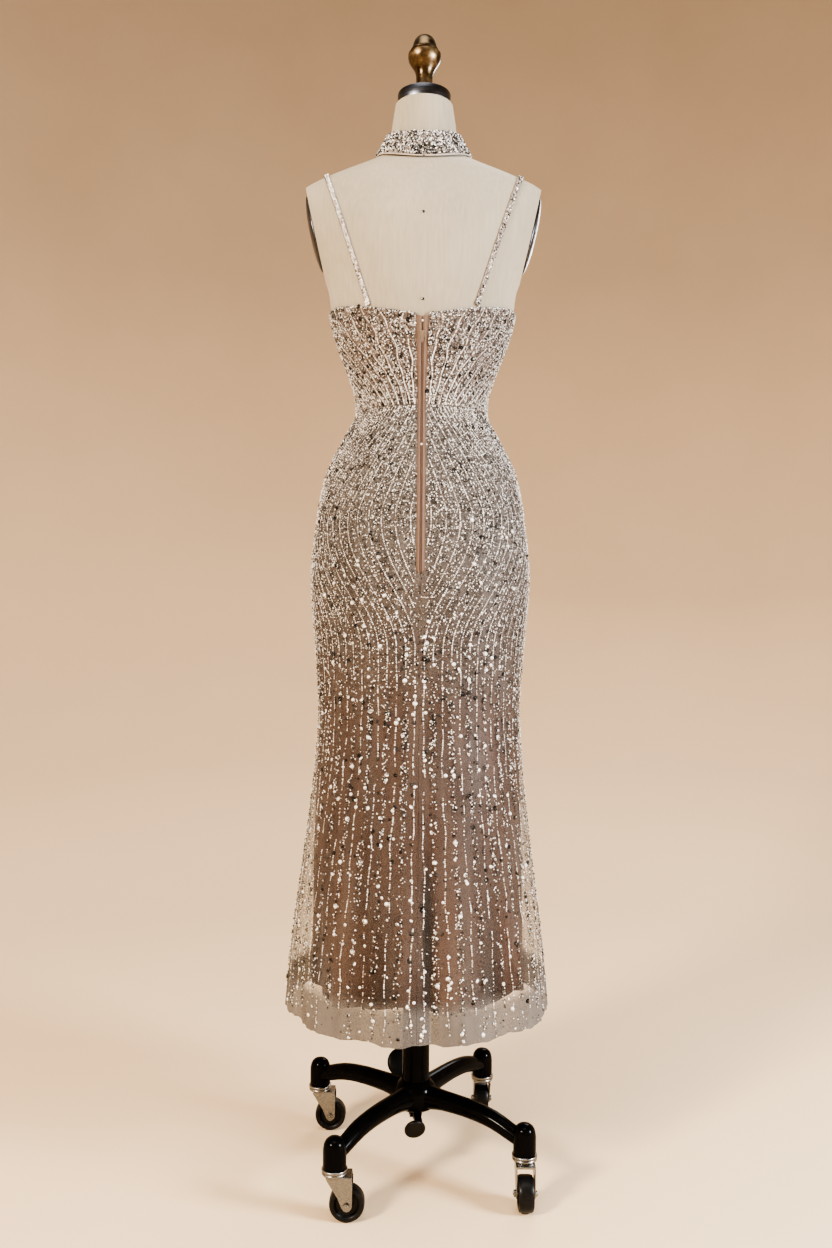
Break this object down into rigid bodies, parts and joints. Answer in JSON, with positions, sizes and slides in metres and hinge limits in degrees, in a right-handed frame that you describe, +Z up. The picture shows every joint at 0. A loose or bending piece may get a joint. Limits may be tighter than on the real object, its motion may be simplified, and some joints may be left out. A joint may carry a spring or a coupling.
{
  "type": "evening gown on a limbless dress form with a rolling stand",
  "caption": "Full-length beaded halter evening gown with a low back, zip and sheer flared skirt over a lining, worn on a linen dress form with a height-adjustable rolling stand.",
  "frame": {"origin": "on the floor under the pole, at the middle of the bottom of the bounding box", "axes": "+Z up, the gown's back faces +Y and its front -Y, the wearer's left is +X"},
  "size_m": [0.4268, 0.4281, 1.854],
  "materials": {
    "beaded_bodice": "warm grey net over a nude ground, covered in silver beads",
    "beaded_net": "sheer warm grey net with rows of silver beads and sequins",
    "lining_satin": "nude satin with a soft sheen",
    "beadwork": "silver and crystal beads, dense and sparkling",
    "zip_tape": "matt nude woven tape",
    "zip_nylon": "moulded coil",
    "zip_metal": "small plated slider",
    "linen": "off-white linen over a hard shell, matt",
    "dark_steel": "dark brushed and lacquered",
    "old_brass": "aged and tarnished brass",
    "black_enamel": "glossy black enamel",
    "bright_steel": "bright plated steel",
    "black_rubber": "black rubber, satin"
  },
  "bodies": {
    "base": {"hub": "black_enamel", "column": "black_enamel", "pedal_bracket": "black_enamel", "pedal_pin": "bright_steel", "leg_back_left": "black_enamel", "leg_back_right": "black_enamel", "leg_front_right": "black_enamel", "leg_front_left": "black_enamel"},
    "form_and_gown": {"skirt_front": "beaded_net", "skirt_back_left": "beaded_net", "skirt_back_right": "beaded_net", "lining_front": "lining_satin", "lining_back_left": "lining_satin", "lining_back_right": "lining_satin", "bodice_front": "beaded_bodice", "bodice_back_left": "beaded_bodice", "bodice_back_right": "beaded_bodice", "collar": "beadwork", "strap_left": "beadwork", "strap_right": "beadwork", "zip_tape_left": "zip_tape", "zip_tape_right": "zip_tape", "zip_coil": "zip_nylon", "zip_slider": "zip_metal", "form_torso": "linen", "arm_plate_left": "dark_steel", "arm_plate_right": "dark_steel", "neck_cap": "dark_steel", "finial": "old_brass", "pole": "bright_steel"},
    "zip_pull": {"zip_pull": "zip_metal"},
    "pedal": {"pedal_lever": "black_rubber"},
    "swivel_back_left": {"fork_back_left": "bright_steel", "axle_back_left": "bright_steel"},
    "wheel_back_left": {"wheel_back_left": "black_rubber"},
    "swivel_back_right": {"fork_back_right": "bright_steel", "axle_back_right": "bright_steel"},
    "wheel_back_right": {"wheel_back_right": "black_rubber"},
    "swivel_front_right": {"fork_front_right": "bright_steel", "axle_front_right": "bright_steel"},
    "wheel_front_right": {"wheel_front_right": "black_rubber"},
    "swivel_front_left": {"fork_front_left": "bright_steel", "axle_front_left": "bright_steel"},
    "wheel_front_left": {"wheel_front_left": "black_rubber"}
  },
  "joints": [
    {"name": "height_slide", "type": "slide", "parent": "base", "child": "form_and_gown", "axis": [0, 0, 1], "range_m": [-0.085, 0.15]},
    {"name": "zip_pull_hinge", "type": "hinge", "parent": "form_and_gown", "child": "zip_pull", "pos_m": [0, 0.10942, 1.33659], "axis": [1, 0, 0], "range_deg": [0, 150]},
    {"name": "pedal_hinge", "type": "hinge", "parent": "base", "child": "pedal", "pos_m": [0, 0, 0.084], "axis": [0.9869, 0.1616, 0], "range_deg": [0, 10], "stiffness_Nm_per_rad": 6, "springref_deg": -2.86},
    {"name": "swivel_back_left", "type": "hinge", "parent": "base", "child": "swivel_back_left", "pos_m": [0.12021, 0.16729, 0.078], "axis": [0, 0, 1], "continuous": true},
    {"name": "roll_back_left", "type": "hinge", "parent": "swivel_back_left", "child": "wheel_back_left", "pos_m": [0.10121, 0.16729, 0.0265], "axis": [0, 1, 0], "continuous": true},
    {"name": "swivel_back_right", "type": "hinge", "parent": "base", "child": "swivel_back_right", "pos_m": [-0.16729, 0.12021, 0.078], "axis": [0, 0, 1], "continuous": true},
    {"name": "roll_back_right", "type": "hinge", "parent": "swivel_back_right", "child": "wheel_back_right", "pos_m": [-0.16729, 0.13921, 0.0265], "axis": [1, 0, 0], "continuous": true},
    {"name": "swivel_front_right", "type": "hinge", "parent": "base", "child": "swivel_front_right", "pos_m": [-0.12021, -0.16729, 0.078], "axis": [0, 0, 1], "continuous": true},
    {"name": "roll_front_right", "type": "hinge", "parent": "swivel_front_right", "child": "wheel_front_right", "pos_m": [-0.12021, -0.18629, 0.0265], "axis": [1, 0, 0], "continuous": true},
    {"name": "swivel_front_left", "type": "hinge", "parent": "base", "child": "swivel_front_left", "pos_m": [0.16729, -0.12021, 0.078], "axis": [0, 0, 1], "continuous": true},
    {"name": "roll_front_left", "type": "hinge", "parent": "swivel_front_left", "child": "wheel_front_left", "pos_m": [0.14829, -0.12021, 0.0265], "axis": [0, 1, 0], "continuous": true}
  ]
}
